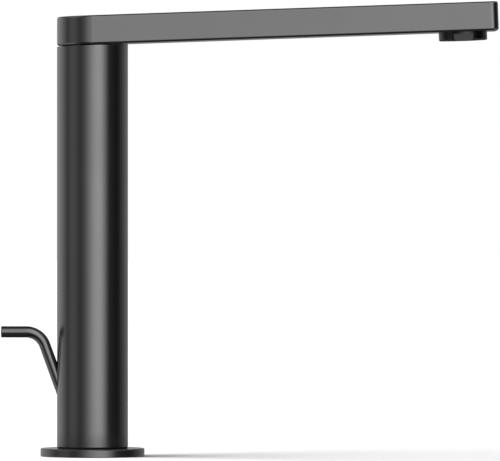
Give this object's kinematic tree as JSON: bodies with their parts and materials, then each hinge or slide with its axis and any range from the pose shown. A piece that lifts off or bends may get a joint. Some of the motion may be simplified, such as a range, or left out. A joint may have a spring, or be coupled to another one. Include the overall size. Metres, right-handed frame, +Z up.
{
  "type": "washbasin mixer tap",
  "caption": "Tall single-hole basin mixer: round column on a thin flange, flat rising bar spout with an aerator under its tip, and a bent pin lever at the back of the column.",
  "frame": {"origin": "on the column's axis, in the plane of the flange's underside, where the deck's top face is", "axes": "+X from the column towards the spout's tip, +Z up, +Y to the right of someone who stands at the tip and looks at the column"},
  "size_m": [0.3079, 0.0644, 0.3315],
  "materials": {
    "dark_chrome": "dark satin-bright chrome plate, neutral grey",
    "black_chrome": "near-black satin chrome plate",
    "brass": "machined brass",
    "stainless": "drawn and brushed stainless steel",
    "black_rubber": "moulded black rubber",
    "black_polymer": "matt black acetal",
    "white_polymer": "moulded white polymer",
    "grey_polymer": "moulded grey acetal",
    "ceramic": "lapped alumina"
  },
  "bodies": {
    "faucet_body": {"base_flange": "dark_chrome", "column_tube": "dark_chrome", "spout_body": "dark_chrome", "spout_cover_plate": "dark_chrome", "aerator_collar": "black_chrome", "column_head": "brass", "valve_body": "brass", "mounting_shank": "brass", "shank_nut": "brass", "spout_spigot": "brass", "spigot_nut": "brass", "outlet_block": "brass", "cartridge_nut": "brass", "clamp_washer": "stainless", "riser_tube": "stainless", "spout_tube": "stainless", "deck_seal": "black_rubber", "clamp_pad": "black_rubber", "spout_gasket": "black_rubber", "spigot_seal": "black_rubber", "riser_seals": "black_rubber", "cartridge_base_seal": "black_rubber", "aerator_washer": "black_rubber", "lever_bush": "black_polymer", "seat_ring": "black_polymer", "cartridge_housing": "white_polymer", "centring_collar": "white_polymer", "flow_regulator": "white_polymer", "aerator_cage": "grey_polymer", "aerator_screen": "grey_polymer", "fixed_disc": "ceramic"},
    "lever": {"lever_rod": "dark_chrome", "lever_socket": "brass", "lever_set_screw": "stainless", "cartridge_spindle": "brass", "spindle_seal": "black_rubber", "moving_disc": "ceramic"}
  },
  "joints": [
    {"name": "lever_turn", "type": "hinge", "parent": "faucet_body", "child": "lever", "pos_m": [-0.022, 0, 0.0482], "axis": [-0.342, 0, 0.9397], "range_deg": [0, 100]}
  ]
}
